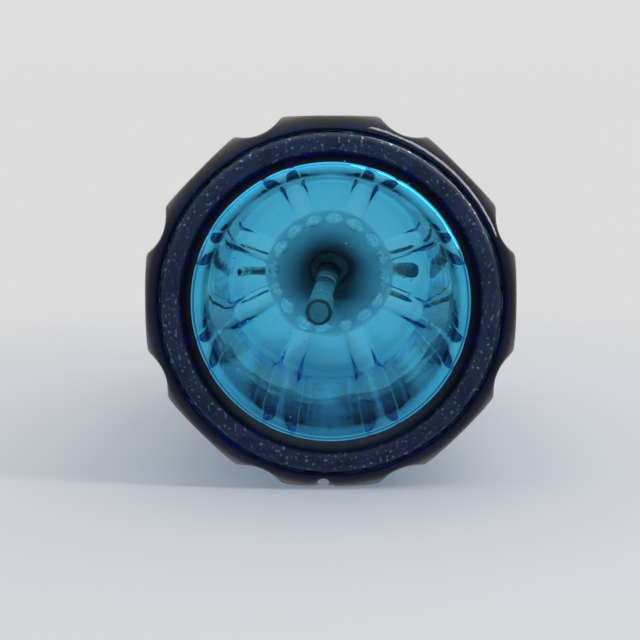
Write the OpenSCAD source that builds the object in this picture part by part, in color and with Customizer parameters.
// Soda siphon: an eight-sided fluted glass bottle with a cast metal head.
// Millimetres. The bottle stands upright on z = 0 with its axis on Z. The spout
// points to -Y and the lever to +Y. Every height in the head is counted from the
// pieces below it, so a changed size carries the rest with it.

/* [Bottle] */
// Width of the bottle across two opposite flat panels
bottle_af = 105; // [88:1:126]
// Height of the straight side above the standing ring
side_top = 170; // [140:1:210]
// Chord of the concave flute that takes off each of the eight corners
flute_chord = 14.5; // [8:0.5:18]
// Depth of a flute below its chord
flute_depth = 2.8; // [1:0.1:4]
// How far the round envelope stands out past the flat panels
arris_stand = 2; // [1:0.1:2.5]
// Glass thickness at the flat panels
side_wall = 9.5; // [5:0.5:11]
// Glass thickness over the shoulder
shoulder_wall = 11.5; // [7:0.5:13]
// Glass thickness at the middle of the base
base_wall = 6; // [4:0.5:10]
// Height of the kick-up in the middle of the base
kick_h = 10; // [4:0.5:16]
// Width of the flat standing ring
ring_w = 3.4; // [2:0.2:6]
// How far the heel comes in from the round envelope to the standing ring
heel_in = 7.5; // [4:0.5:10]
// Height of the rounded heel
heel_h = 10; // [8:1:25]
// Radius between the cavity's floor and its wall
cavity_fillet = 5; // [3:0.5:15]
// Distance from the bottle's axis to the centre of the shoulder's arc
shoulder_at = 4; // [2:0.5:24]

/* [Neck] */
// Radius of the neck below its bead
neck_r = 15.5; // [14:0.5:18]
// Radius of the bore through the neck
neck_bore_r = 9.5; // [7.9:0.1:11.4]
// Radius of the sweep from the shoulder into the neck
neck_sweep_r = 12; // [8:0.5:16]
// Length of straight neck that the split ring grips
neck_grip = 5.6; // [4:0.2:8]
// How far the glass bead stands out from the neck
bead_out = 3.5; // [2:0.1:4]
// Height of the glass bead
bead_h = 8.5; // [6:0.5:12]
// Radius on the two corners of the bead
bead_round = 1.5; // [0.5:0.1:2]
// Height of the lip above the bead
lip_h = 4; // [2:0.5:6]
// Height of the rubber gasket on the lip
gasket_h = 3; // [2:0.2:4]

/* [Dip tube] */
// Outside radius of the glass dip tube
tube_r = 4; // [3:0.1:4.8]
// Wall thickness of the dip tube
tube_wall = 1; // [0.6:0.1:1.5]
// Gap between the kick-up inside the bottle and the tube's lower end
tube_foot_gap = 6; // [3:0.5:12]
// Lean of the tube in its holder, in degrees
tube_lean = 1.3; // [0:0.1:1.3]
// Compass direction of that lean, in degrees from +X
tube_lean_dir = 222; // [0:1:359]

/* [Clamp] */
// Radial wall of the clamp collar round the head's skirt
collar_wall = 3.7; // [2.5:0.1:6]
// Height of the lip under the split ring
collar_lip_h = 5; // [3:0.5:7]
// Height of the bevel round the underside of the collar
collar_bevel = 4; // [1:0.5:4.5]
// Number of grip grooves round the collar
grip_count = 16; // [8:1:24]
// Depth of a grip groove
grip_depth = 1; // [0.5:0.1:1.6]

/* [Head] */
// Height of the head's flange above the collar
flange_h = 4; // [3:0.5:6]
// Radius of the cove from the flange up to the barrel
cove_r = 10; // [6:0.5:11]
// Radius of the barrel that holds the valve
barrel_r = 13; // [12:0.5:16]
// How far the two ornamental beads stand out from the barrel
trim_out = 1.1; // [0.5:0.1:2]
// Radius of the chamber below the valve
chamber_r = 8.1; // [6.7:0.05:9]
// Height of free chamber between the tube holder and the valve seat
chamber_h = 10.7; // [9.5:0.1:14]
// Height of the passage that leads to the spout
passage_h = 6.8; // [6:0.2:10]
// Radius of that passage
passage_r = 5; // [4:0.1:5.5]
// Height left open above the gland nut
spring_well = 6; // [3:0.5:8]

/* [Spout] */
// Outside radius of the spout
spout_r = 5; // [4:0.1:6]
// Radius of the spout's bore
spout_bore_r = 2.5; // [1.5:0.1:3]
// Rise of the spout above level where it leaves the head, in degrees
spout_rise = 25; // [10:1:35]
// Distance from the bottle's axis to the axis of the nozzle
spout_reach = 61; // [50:1:75]
// Centre-line radius of the spout's bend
bend_r = 16; // [10:0.5:20]
// Length of the straight drop below the bend, down to the nozzle's end
spout_drop = 24; // [20:1:35]
// Length of the nozzle's own bore
nozzle_bore_l = 8; // [5:0.5:12]
// Radius of the nozzle's bore
nozzle_bore_r = 2.2; // [1.2:0.1:2.4]
// Length of thread on which the nozzle screws
nozzle_socket_l = 6; // [4:0.5:8]

/* [Lever] */
// Distance of the lever's pivot in front of the bottle's axis
pivot_back = 14; // [12:0.5:18]
// Radius of the lever's pivot pin
pin_r = 2; // [1.5:0.1:2.5]
// Radius of the lever's hub
hub_r = 4.5; // [4:0.1:6]
// Width of the lever between the lugs
lever_w = 9.4; // [7:0.2:12]
// Width of the thumb plate at the lever's end
thumb_w = 18; // [12:0.5:26]
// Thickness of the lever
lever_t = 4.6; // [3:0.2:6]
// Distance from the bottle's axis to the lever's end
lever_reach = 66; // [55:1:80]
// Turn of each of the lever's two bends, in degrees
lever_turn = 60; // [40:1:65]
// Radius of the lever's second bend, which turns the thumb plate level
thumb_bend_r = 22; // [15:1:30]
// Thickness of each lug
lug_t = 3; // [2:0.2:5]

/* [Valve] */
// Radius of the plunger rod
rod_r = 2; // [1.5:0.1:2.2]
// Radius of the rod's threaded lower end
rod_end_r = 1.6; // [1.2:0.1:1.8]
// Radius of the rubber valve disc
disc_r = 6.2; // [5:0.1:7]
// Height of the rubber valve disc
disc_h = 3.5; // [2:0.1:5]
// Bore radius of the valve seat
seat_bore_r = 4.2; // [3.5:0.1:4.6]
// Height of the valve seat
seat_h = 3; // [2:0.1:4]
// Height of the rod packing
packing_h = 4; // [3:0.1:6]
// Height of the gland nut
gland_h = 6; // [4:0.5:8]
// Radius of the push button
button_r = 5.8; // [5.2:0.1:7]
// Height of the push button
button_h = 5; // [4:0.5:7]
// Free height of the return spring
spring_h = 10; // [8:0.5:14]
// Centre-line radius of the return spring
coil_r = 4.5; // [3:0.1:5]
// Wire diameter of the return spring
wire_d = 0.9; // [0.6:0.1:1.2]
// Turns of the return spring
coil_turns = 4.5; // [3:0.5:7]

/* [Fits] */
// Gap between a threaded or pushed-in piece and its hole
seated = 0.1; // [0.05:0.01:0.2]
// Gap round a rod or pin that turns or slides
running = 0.05; // [0.02:0.01:0.1]
// Gap between pieces that move past each other
free_gap = 0.3; // [0.2:0.05:0.5]
// Gap between a resting button and its lever, and between a shut valve and its seat
rest_gap = 0.2; // [0.1:0.05:0.3]

/* [Hidden] */
$fa = 3;
$fs = 0.6;

glass_blue = [0.05, 0.42, 0.62, 0.45];
glass_clear = [0.72, 0.86, 0.80, 0.5];
pewter = [0.48, 0.47, 0.45];
bright = [0.62, 0.61, 0.58];
brass_c = [0.72, 0.56, 0.28];
rubber_c = [0.10, 0.09, 0.09];
steel_c = [0.55, 0.55, 0.56];

sides = 8;
past = 1;
thin = 0.4;

// Bottle
flat_r = bottle_af / 2;
side_r = flat_r + arris_stand;
corner_half = flat_r * tan(180 / sides);
panel_half = corner_half - flute_chord / 2 / cos(180 / sides);
arris_r = sqrt(flat_r * flat_r + panel_half * panel_half);
chord_mid = sqrt(arris_r * arris_r - flute_chord * flute_chord / 4);
flute_r = (flute_chord * flute_chord / 4 + flute_depth * flute_depth) / (2 * flute_depth);
flute_at = chord_mid - flute_depth + flute_r;
ring_out = side_r - heel_in;
ring_in = ring_out - ring_w;
kick_r = (ring_in * ring_in + kick_h * kick_h) / (2 * kick_h);
kick_z = kick_h - kick_r;
heel_r = (heel_in * heel_in + heel_h * heel_h) / (2 * heel_in);
cavity_r = flat_r - side_wall;
floor_r = kick_r + base_wall;
fillet_at = cavity_r - cavity_fillet;
fillet_z = kick_z + sqrt(pow(floor_r + cavity_fillet, 2) - fillet_at * fillet_at);
floor_top = kick_z + floor_r;
shoulder_r = side_r - shoulder_at;
shoulder_in = shoulder_r - shoulder_wall;
sweep_at = neck_r + neck_sweep_r;
sweep_z = side_top + sqrt(pow(shoulder_r + neck_sweep_r, 2) - pow(sweep_at - shoulder_at, 2));
throat_r = neck_sweep_r + shoulder_wall / 2;
throat_at = neck_bore_r + throat_r;
throat_z = side_top + sqrt(pow(shoulder_in + throat_r, 2) - pow(throat_at - shoulder_at, 2));
bead_z = sweep_z + neck_grip;
bead_r = neck_r + bead_out;
lip_z = bead_z + bead_h;
lip_r = bead_r - 2.5;
glass_top = lip_z + lip_h;
gasket_r = bead_r - 0.5;

// Clamp and skirt
ring_play = 0.2;
split_in = neck_r + ring_play;
skirt_in = bead_r + 0.4;
skirt_out = skirt_in + 2.2;
split_out = skirt_out - seated;
collar_in = skirt_out + 0.2;
collar_out = collar_in + collar_wall;
collar_lip_in = bead_r + 0.7;
split_z = bead_z - neck_grip + seated;
collar_z = split_z - collar_lip_h;
skirt_z = bead_z + 2.5;

// Head
head_z = glass_top + gasket_h;
flange_z = head_z + 1;
cove_z = flange_z + flange_h;
barrel_z = cove_z + cove_r;
cove_at = barrel_r - 1.5 + cove_r;
holder_top = head_z + 6.5;
seat_z = holder_top + chamber_h;
passage_z = seat_z + seat_h;
packing_z = passage_z + passage_h;
gland_z = packing_z + packing_h;
gland_top = gland_z + gland_h;
barrel_top = gland_top + spring_well;
seat_r = chamber_r - 0.6;
packing_r = passage_r + 1;
gland_r = chamber_r - seated;

// Tube holder
seal_r = chamber_r - 1.6;
seal_h = 4;
seal_z = head_z - 1.5;
holder_bore = tube_r + 0.9;
tube_top = seal_z + seal_h + 0.5;
tube_foot = floor_top + tube_foot_gap;

// Valve
disc_top = seat_z - rest_gap;
cup_h = 1.2;
cup_r = disc_r - 0.8;
nut_h = 2.4;
nut_r = 3.6;
nut_top = disc_top - disc_h - cup_h;
rod_foot = nut_top - nut_h - 0.3;
button_z = gland_top + spring_h;
button_top = button_z + button_h;
button_socket = 3;

// Lever
nose_r = 3;
nose_z = button_top + rest_gap + nose_r;
pivot_z = nose_z - 1.2;
bar_z = pivot_z + 0.2;
bar_mid = bar_z + lever_t / 2;
thumb_end = lever_reach - lever_t / 2;
bend_start = 10;
arch_r = (thumb_end - bend_start) / sin(lever_turn) - thumb_bend_r;
arch_z = bar_mid - arch_r;
thumb_z = arch_z + (arch_r + thumb_bend_r) * cos(lever_turn);
lug_r = hub_r + 1;
lug_in = lever_w / 2 + free_gap;
lug_out = lug_in + lug_t;
rivet_r = pin_r + 1;
rivet_h = 1.2;

// Spout
root_y = -10;
root_z = passage_z + passage_h / 2 + 1.9;
boss_r = spout_r + 2.5;
boss_l = 12;
bead_rise = 0.8;
bead_w = 2.4;
socket_at = 2;
spout_l = (spout_reach + root_y - bend_r * (1 + sin(spout_rise))) / cos(spout_rise);
bend_y = root_y - spout_l * cos(spout_rise) - bend_r * sin(spout_rise);
bend_z = root_z + spout_l * sin(spout_rise) - bend_r * cos(spout_rise);
nozzle_end = bend_z - spout_drop;
thread_z = nozzle_end + nozzle_bore_l;
nozzle_top = thread_z + nozzle_socket_l;
thread_r = spout_r - 0.9;
tip_r = spout_r - 1.4;

// Return spring: rings of wire points up the coil, joined face by face
coil_steps = 24;
wire_faces = 8;
steps = round(coil_turns * coil_steps);
coil_pitch = (spring_h - wire_d) / coil_turns;
coil_points = [for (i = [0:steps]) for (j = [0:wire_faces - 1])
  let (a = i * 360 / coil_steps, b = j * 360 / wire_faces, r = coil_r + wire_d / 2 * cos(b))
    [r * cos(a), r * sin(a), wire_d / 2 + coil_pitch * a / 360 + wire_d / 2 * sin(b)]];
coil_sides = [for (i = [0:steps - 1]) for (j = [0:wire_faces - 1])
  let (p = i * wire_faces, n = (j + 1) % wire_faces)
    [p + j, p + wire_faces + j, p + wire_faces + n, p + n]];
coil_ends = [[for (j = [0:wire_faces - 1]) j],
             [for (j = [wire_faces - 1:-1:0]) steps * wire_faces + j]];

// Half outline of a plain disc between two heights, to be turned about Z.
module slab(r, z0, z1) {
  translate([0, z0]) square([r, z1 - z0]);
}

// A ring from one radius to another between two heights.
module ring(r_in, r_out, z0, z1) {
  translate([0, 0, z0]) difference() {
    cylinder(r = r_out, h = z1 - z0);
    translate([0, 0, -past]) cylinder(r = r_in, h = z1 - z0 + 2 * past);
  }
}

// Turns an outline drawn in the Y-Z plane into a plate centred on x = 0.
module side_plate(w) {
  translate([-w / 2, 0, 0]) rotate([90, 0, 90]) linear_extrude(height = w) children();
}

// Half outline between the shoulder's arc and the hollow arc that leads into the neck.
module throat_outline(at, z, r) {
  difference() {
    polygon([[0, side_top - past], [shoulder_at, side_top - past], [shoulder_at, side_top],
             [at, z], [0, z]]);
    translate([at, z]) circle(r = r);
  }
}

// Half outline of the glass before the panels and the cavity are cut.
module bottle_outline() {
  slab(side_r, heel_h, side_top);
  slab(side_r - heel_r, 0, heel_h + past);
  intersection() {
    translate([side_r - heel_r, heel_h]) circle(r = heel_r);
    slab(side_r, 0, heel_h + past);
  }
  intersection() {
    translate([shoulder_at, side_top]) circle(r = shoulder_r);
    slab(side_r, side_top - past, side_top + shoulder_r);
  }
  throat_outline(sweep_at, sweep_z, neck_sweep_r);
  slab(neck_r, sweep_z - past, bead_z + past);
  slab(bead_r - bead_round, bead_z, lip_z);
  slab(bead_r, bead_z + bead_round, lip_z - bead_round);
  translate([bead_r - bead_round, bead_z + bead_round]) circle(r = bead_round);
  translate([bead_r - bead_round, lip_z - bead_round]) circle(r = bead_round);
  slab(lip_r, lip_z - past, glass_top);
}

// Half outline of the space inside the glass.
module cavity_outline() {
  slab(cavity_r, fillet_z, side_top);
  difference() {
    polygon([[0, kick_z], [fillet_at, fillet_z], [fillet_at, fillet_z + past], [0, fillet_z + past]]);
    translate([0, kick_z]) circle(r = floor_r);
  }
  intersection() {
    translate([fillet_at, fillet_z]) circle(r = cavity_fillet);
    slab(cavity_r, fillet_z - cavity_fillet, fillet_z + past);
  }
  intersection() {
    translate([shoulder_at, side_top]) circle(r = shoulder_in);
    slab(cavity_r, side_top - past, side_top + shoulder_in);
  }
  throat_outline(throat_at, throat_z, throat_r);
  slab(neck_bore_r, throat_z - past, glass_top + past);
}

// Outline of the eight flat panels with a concave flute at each corner.
module fluted_octagon() {
  difference() {
    rotate(180 / sides) circle(r = flat_r / cos(180 / sides), $fn = sides);
    for (k = [0:sides - 1]) {
      rotate((k + 0.5) * 360 / sides) translate([flute_at, 0]) circle(r = flute_r);
    }
  }
}

// Pressed and blown glass: round shoulder and neck, fluted sides, kick-up and cavity.
module bottle() color(glass_blue) {
  difference() {
    intersection() {
      rotate_extrude() bottle_outline();
      translate([0, 0, -past]) linear_extrude(height = glass_top + 2 * past) fluted_octagon();
    }
    rotate_extrude() cavity_outline();
    rotate_extrude() intersection() {
      translate([0, kick_z]) circle(r = kick_r);
      slab(ring_in, -past, kick_h + past);
    }
  }
}

// Glass tube that carries the soda water up from the base; it leans in its holder.
module dip_tube() color(glass_clear) {
  translate([0, 0, tube_top]) rotate([0, 0, tube_lean_dir]) rotate([0, -tube_lean, 0])
    translate([0, 0, tube_foot - tube_top])
      ring(tube_r - tube_wall, tube_r, 0, tube_top - tube_foot);
}

// Flat rubber ring between the glass lip and the head.
module neck_gasket() color(rubber_c) {
  ring(neck_bore_r, gasket_r, glass_top, head_z);
}

// One half of the ring that carries the clamp's pull to the glass bead.
module split_half() {
  difference() {
    ring(split_in, split_out, split_z, bead_z);
    translate([-split_out - past, -split_out - past, split_z - past])
      cube([2 * split_out + 2 * past, split_out + past + free_gap, bead_z - split_z + 2 * past]);
  }
}

module split_ring_left() color(brass_c) {
  mirror([0, 1, 0]) split_half();
}

module split_ring_right() color(brass_c) {
  split_half();
}

// Screwed collar: its lip lifts the split ring against the bead as it turns.
module clamp_collar() color(bright) {
  difference() {
    rotate_extrude() difference() {
      polygon([[0, collar_z], [collar_out - collar_bevel, collar_z],
               [collar_out, collar_z + collar_bevel], [collar_out, flange_z], [0, flange_z]]);
      slab(collar_lip_in, collar_z - past, split_z + past);
      slab(collar_in, split_z, flange_z + past);
    }
    for (k = [0:grip_count - 1]) {
      rotate([0, 0, (k + 0.5) * 360 / grip_count])
        translate([collar_out + grip_depth, 0, collar_z + collar_bevel + grip_depth])
          cylinder(r = 2 * grip_depth, h = flange_z - collar_z - collar_bevel - 3 * grip_depth);
    }
  }
}

// Half outline of the head: skirt over the bead, flange, cove and barrel.
module head_outline() {
  slab(skirt_out, skirt_z, flange_z + past);
  slab(collar_out, flange_z, cove_z - past);
  slab(collar_out - past, flange_z, cove_z);
  difference() {
    slab(cove_at, cove_z - past, barrel_z);
    translate([cove_at, barrel_z]) circle(r = cove_r);
  }
  slab(barrel_r, barrel_z, barrel_top);
  translate([barrel_r, barrel_z + trim_out]) circle(r = trim_out);
  translate([barrel_r, barrel_top - 2 * trim_out]) circle(r = trim_out);
}

// Places a piece on the spout's rising axis, with z = 0 at the spout's root.
module on_rise() {
  translate([0, root_y, root_z]) rotate([90 - spout_rise, 0, 0]) children();
}

// Cast head with the valve chamber, the spout's boss and the lever's two lugs.
module head_body() color(pewter) {
  difference() {
    union() {
      rotate_extrude() head_outline();
      on_rise() translate([0, 0, -past]) cylinder(r = boss_r, h = boss_l + past);
      for (x = [-1, 1]) {
        translate([x * (lug_in + lug_t / 2), 0, 0]) side_plate(lug_t) {
          translate([-pivot_back, pivot_z]) circle(r = lug_r);
          polygon([[-pivot_back - lug_r, pivot_z], [-pivot_back + lug_r, pivot_z],
                   [-barrel_r + 4.5, barrel_top - 4], [-barrel_r - 3, barrel_top - 12]]);
        }
      }
    }
    translate([0, 0, skirt_z - past]) cylinder(r = skirt_in, h = head_z - skirt_z + past);
    translate([0, 0, head_z - past]) cylinder(r = chamber_r, h = seat_z - head_z + past);
    translate([0, 0, seat_z - past]) cylinder(r = seat_r + seated, h = seat_h + past);
    translate([0, 0, passage_z - past]) cylinder(r = passage_r, h = passage_h + 2 * past);
    translate([0, 0, packing_z]) cylinder(r = packing_r + seated, h = packing_h + past);
    translate([0, 0, gland_z]) cylinder(r = chamber_r, h = barrel_top - gland_z + past);
    on_rise() translate([0, 0, root_y + spout_bore_r])
      cylinder(r = spout_bore_r, h = boss_l - root_y);
    on_rise() translate([0, 0, socket_at]) cylinder(r = spout_r + seated / 2, h = boss_l);
    translate([-lug_out - past, -pivot_back, pivot_z]) rotate([0, 90, 0])
      cylinder(r = pin_r + seated / 5, h = 2 * (lug_out + past));
  }
}

// The spout's path as a solid rod of one radius, down to a given height, with a
// short wider disc over each end of the bend.
module spout_run(r, from, to_z, disc_out, disc_w) {
  on_rise() translate([0, 0, from]) cylinder(r = r, h = spout_l - from);
  on_rise() translate([0, 0, spout_l - disc_w / 2]) cylinder(r = r + disc_out, h = disc_w);
  translate([0, bend_y, bend_z]) rotate([90, 0, 90])
    rotate_extrude(angle = 90 + spout_rise, start = 90 - spout_rise)
      translate([bend_r, 0]) circle(r = r);
  translate([0, bend_y - bend_r, 0]) {
    translate([0, 0, bend_z - disc_w / 2]) cylinder(r = r + disc_out, h = disc_w);
    translate([0, 0, to_z]) cylinder(r = r, h = bend_z - to_z);
  }
}

// Bent spout with a cast bead at each end of the bend and a thread for the nozzle.
module spout() color(pewter) {
  difference() {
    union() {
      spout_run(spout_r, socket_at, nozzle_top, bead_rise, bead_w);
      translate([0, bend_y - bend_r, thread_z]) cylinder(r = thread_r, h = nozzle_socket_l + past);
    }
    spout_run(spout_bore_r, socket_at - past, thread_z - past, bead_rise / 4, bead_w / 2);
  }
}

// Screwed nozzle with a tapered tip.
module spout_nozzle() color(bright) {
  translate([0, bend_y - bend_r, 0]) rotate_extrude() difference() {
    union() {
      polygon([[0, nozzle_end], [tip_r, nozzle_end], [spout_r - thin, thread_z], [0, thread_z]]);
      slab(spout_r, thread_z, nozzle_top);
    }
    slab(nozzle_bore_r, nozzle_end - past, thread_z + past);
    slab(thread_r + seated, thread_z, nozzle_top + past);
  }
}

// Brass bush that screws into the head and holds the top of the dip tube.
module tube_holder() color(brass_c) {
  rotate_extrude() difference() {
    union() {
      slab(gland_r, head_z, holder_top);
      slab(neck_bore_r - 0.9, sweep_z, head_z);
      slab(holder_bore + 1, head_z - past, head_z + past);
    }
    slab(holder_bore, sweep_z - past, seal_z + past);
    slab(seal_r + seated, seal_z, seal_z + seal_h);
    slab(tube_r + free_gap, seal_z, tube_top + thin);
    slab(tube_r - tube_wall, seal_z, holder_top + past);
  }
}

// Rubber ring that seals the dip tube in its holder.
module tube_seal() color(rubber_c) {
  ring(tube_r + seated, seal_r, seal_z, seal_z + seal_h);
}

// Ring that the valve closes against.
module valve_seat() color(brass_c) {
  ring(seat_bore_r, seat_r, seat_z, passage_z);
}

// Rubber disc that shuts upwards against the seat.
module valve_disc() color(rubber_c) {
  ring(rod_end_r + running, disc_r, disc_top - disc_h, disc_top);
}

// Brass washer that backs the rubber disc.
module valve_cup() color(brass_c) {
  ring(rod_end_r + running, cup_r, nut_top, nut_top + cup_h);
}

// Six-sided nut that holds the disc and its washer on the rod.
module valve_nut() color(brass_c) {
  translate([0, 0, nut_top - nut_h]) difference() {
    cylinder(r = nut_r, h = nut_h, $fn = 6);
    translate([0, 0, -past]) cylinder(r = rod_end_r + running, h = nut_h + 2 * past);
  }
}

// Rod from the button down through the packing to the valve.
module plunger_rod() color(steel_c) {
  translate([0, 0, disc_top]) cylinder(r = rod_r, h = button_z + button_socket - disc_top);
  translate([0, 0, rod_foot]) cylinder(r = rod_end_r, h = disc_top - rod_foot + past);
}

// Packing that keeps the soda water from rising along the rod.
module packing_cup() color(rubber_c) {
  ring(rod_r + running, packing_r, packing_z, gland_z);
}

// Screwed nut that presses on the packing, with two key slots.
module gland_nut() color(brass_c) {
  difference() {
    ring(rod_r + running, gland_r, gland_z, gland_top);
    for (x = [-1, 1]) {
      translate([x * gland_r - 2.2, -1, gland_top - 2]) cube([4.4, 2, 2 + past]);
    }
  }
}

// Coil spring that lifts the button.
module return_spring() color(steel_c) {
  translate([0, 0, gland_top])
    polyhedron(points = coil_points, faces = concat(coil_sides, coil_ends));
}

// Push button screwed on the rod.
module button() color(bright) {
  translate([0, 0, button_z]) difference() {
    rotate_extrude() {
      slab(button_r, 0, button_h - thin * 2);
      slab(button_r - thin * 2, 0, button_h);
    }
    translate([0, 0, -past]) cylinder(r = rod_r + running / 2, h = button_socket + past);
  }
}

// Side view of the lever: hub, bar, nose over the button and two opposite bends.
module lever_side() {
  difference() {
    union() {
      translate([-pivot_back, pivot_z]) circle(r = hub_r);
      translate([-pivot_back, bar_z]) square([pivot_back + bend_start, lever_t]);
      translate([0, nose_z]) circle(r = nose_r);
      bend_sector(bend_start, arch_z, arch_r, 90 - lever_turn, 90);
      bend_sector(thumb_end, thumb_z, thumb_bend_r, 270 - lever_turn, 270);
      translate([bend_start, bar_mid]) circle(r = lever_t / 2 - thin);
      translate([bend_start + arch_r * sin(lever_turn), arch_z + arch_r * cos(lever_turn)])
        circle(r = lever_t / 2 - thin);
      translate([thumb_end, thumb_z - thumb_bend_r]) circle(r = lever_t / 2);
    }
    translate([-pivot_back, pivot_z]) circle(r = pin_r + running);
  }
}

// A bent strip of the lever's thickness between two angles about a centre.
module bend_sector(y, z, r, a0, a1) {
  reach = 2 * (r + lever_t);
  translate([y, z]) intersection() {
    difference() {
      circle(r = r + lever_t / 2);
      circle(r = r - lever_t / 2);
    }
    polygon([[0, 0], for (a = [a0, (a0 + a1) / 2, a1]) reach * [cos(a), sin(a)]]);
  }
}

// Plan view of the lever, widening to a round thumb plate.
module lever_plan() {
  translate([0, lever_reach - thumb_w / 2]) circle(r = thumb_w / 2);
  polygon([[-lever_w / 2, -pivot_back - lug_r], [lever_w / 2, -pivot_back - lug_r],
           [lever_w / 2, bend_start + 6], [thumb_w / 2, lever_reach - thumb_w / 2],
           [-thumb_w / 2, lever_reach - thumb_w / 2], [-lever_w / 2, bend_start + 6]]);
}

// Curved thumb lever that presses the button.
module lever() color(bright) {
  intersection() {
    side_plate(thumb_w + past) lever_side();
    translate([0, 0, thumb_z - thumb_bend_r - lever_t]) linear_extrude(height = 2 * lever_reach)
      lever_plan();
  }
}

// Riveted pivot pin through both lugs.
module lever_pin() color(steel_c) {
  translate([0, -pivot_back, pivot_z]) rotate([0, 90, 0]) {
    translate([0, 0, -lug_out - rivet_h]) cylinder(r = pin_r, h = 2 * (lug_out + rivet_h));
    translate([0, 0, lug_out]) cylinder(r = rivet_r, h = rivet_h);
    translate([0, 0, -lug_out - rivet_h]) cylinder(r = rivet_r, h = rivet_h);
  }
}

bottle();
dip_tube();
neck_gasket();
split_ring_left();
split_ring_right();
clamp_collar();
head_body();
spout();
spout_nozzle();
tube_holder();
tube_seal();
valve_seat();
valve_disc();
valve_cup();
valve_nut();
plunger_rod();
packing_cup();
gland_nut();
return_spring();
button();
lever();
lever_pin();
